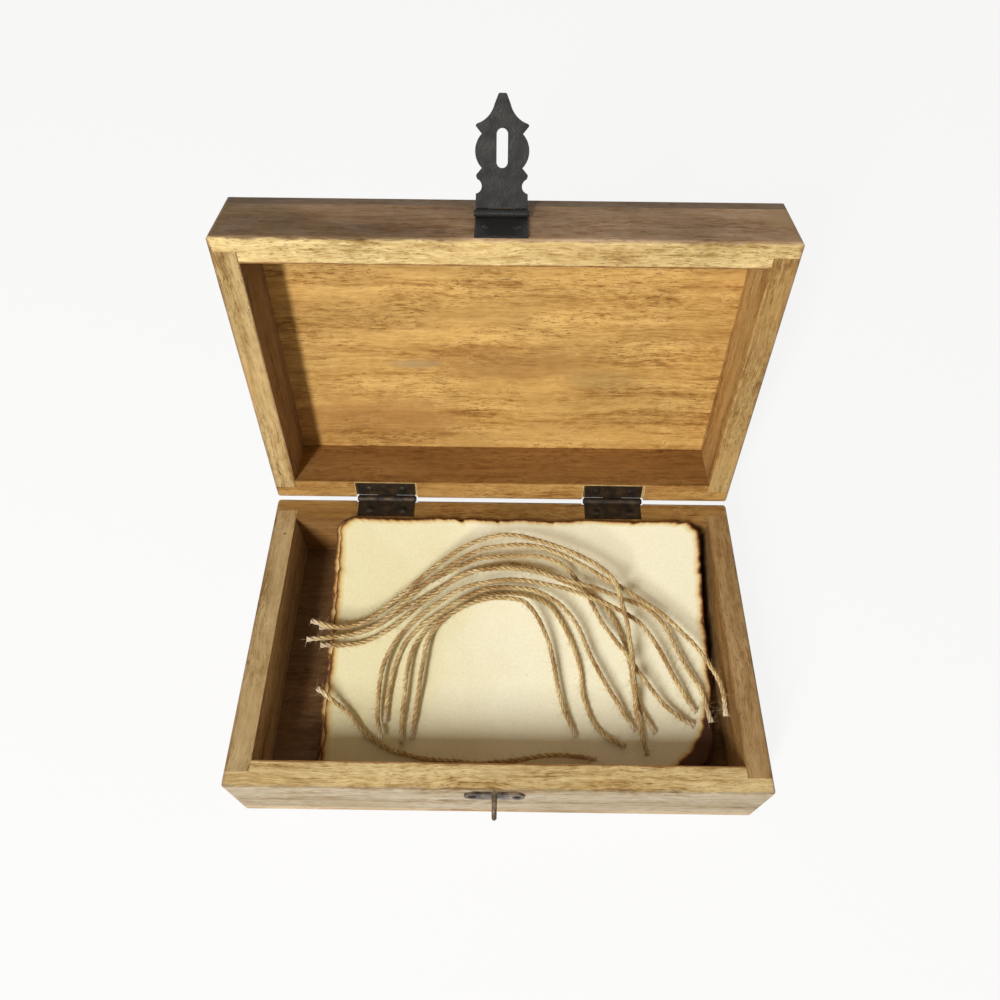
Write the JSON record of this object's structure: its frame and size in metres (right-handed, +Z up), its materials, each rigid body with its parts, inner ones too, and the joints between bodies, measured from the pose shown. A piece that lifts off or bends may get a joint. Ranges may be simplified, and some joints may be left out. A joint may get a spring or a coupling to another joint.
{
  "type": "ditty box",
  "caption": "Small hinged wooden box for papers and keepsakes, with iron butt hinges, a fretted hasp over a staple, a pile of handmade paper and loose jute twine inside.",
  "frame": {"origin": "centre of the underside, on the surface that the box stands on", "axes": "+X to the right along the front, +Y from the front to the hinges at the back, +Z up"},
  "size_m": [0.203, 0.1922, 0.1919],
  "materials": {
    "wood_light": "waxed",
    "wood_dark": "waxed",
    "iron": "blackened",
    "paper": "handmade, edges scorched",
    "jute": "twisted twine"
  },
  "bodies": {
    "base": {"bottom_panel": "wood_dark", "base_front_board": "wood_light", "base_rear_board": "wood_light", "base_left_board": "wood_light", "base_right_board": "wood_light", "hinge_left_base_leaf": "iron", "hinge_right_base_leaf": "iron", "hinge_left_pin": "iron", "hinge_right_pin": "iron", "base_hinge_nails": "iron", "staple_plate": "iron", "staple_loop": "iron", "staple_nails": "iron", "paper_pile": "paper", "paper_top_sheet": "paper", "twine_01": "jute", "twine_02": "jute", "twine_03": "jute", "twine_04": "jute", "twine_05": "jute", "twine_06": "jute", "twine_07": "jute", "twine_08": "jute", "twine_09": "jute", "twine_10": "jute"},
    "lid": {"lid_top_panel": "wood_light", "lid_front_board": "wood_dark", "lid_rear_board": "wood_light", "lid_left_board": "wood_light", "lid_right_board": "wood_light", "hinge_left_lid_leaf": "iron", "hinge_right_lid_leaf": "iron", "lid_hinge_nails": "iron", "hasp_leaf": "iron", "hasp_pin": "iron", "hasp_nails": "iron"},
    "hasp": {"hasp_strap": "iron"}
  },
  "joints": [
    {"name": "lid_hinge", "type": "hinge", "parent": "base", "child": "lid", "pos_m": [0, 0.0641, 0.0344], "axis": [1, 0, 0], "range_deg": [0, 99.9]},
    {"name": "hasp_swing", "type": "hinge", "parent": "lid", "child": "hasp", "pos_m": [-0.0013, 0.1007, 0.15922], "axis": [1, 0, 0], "range_deg": [-70, 108]}
  ]
}
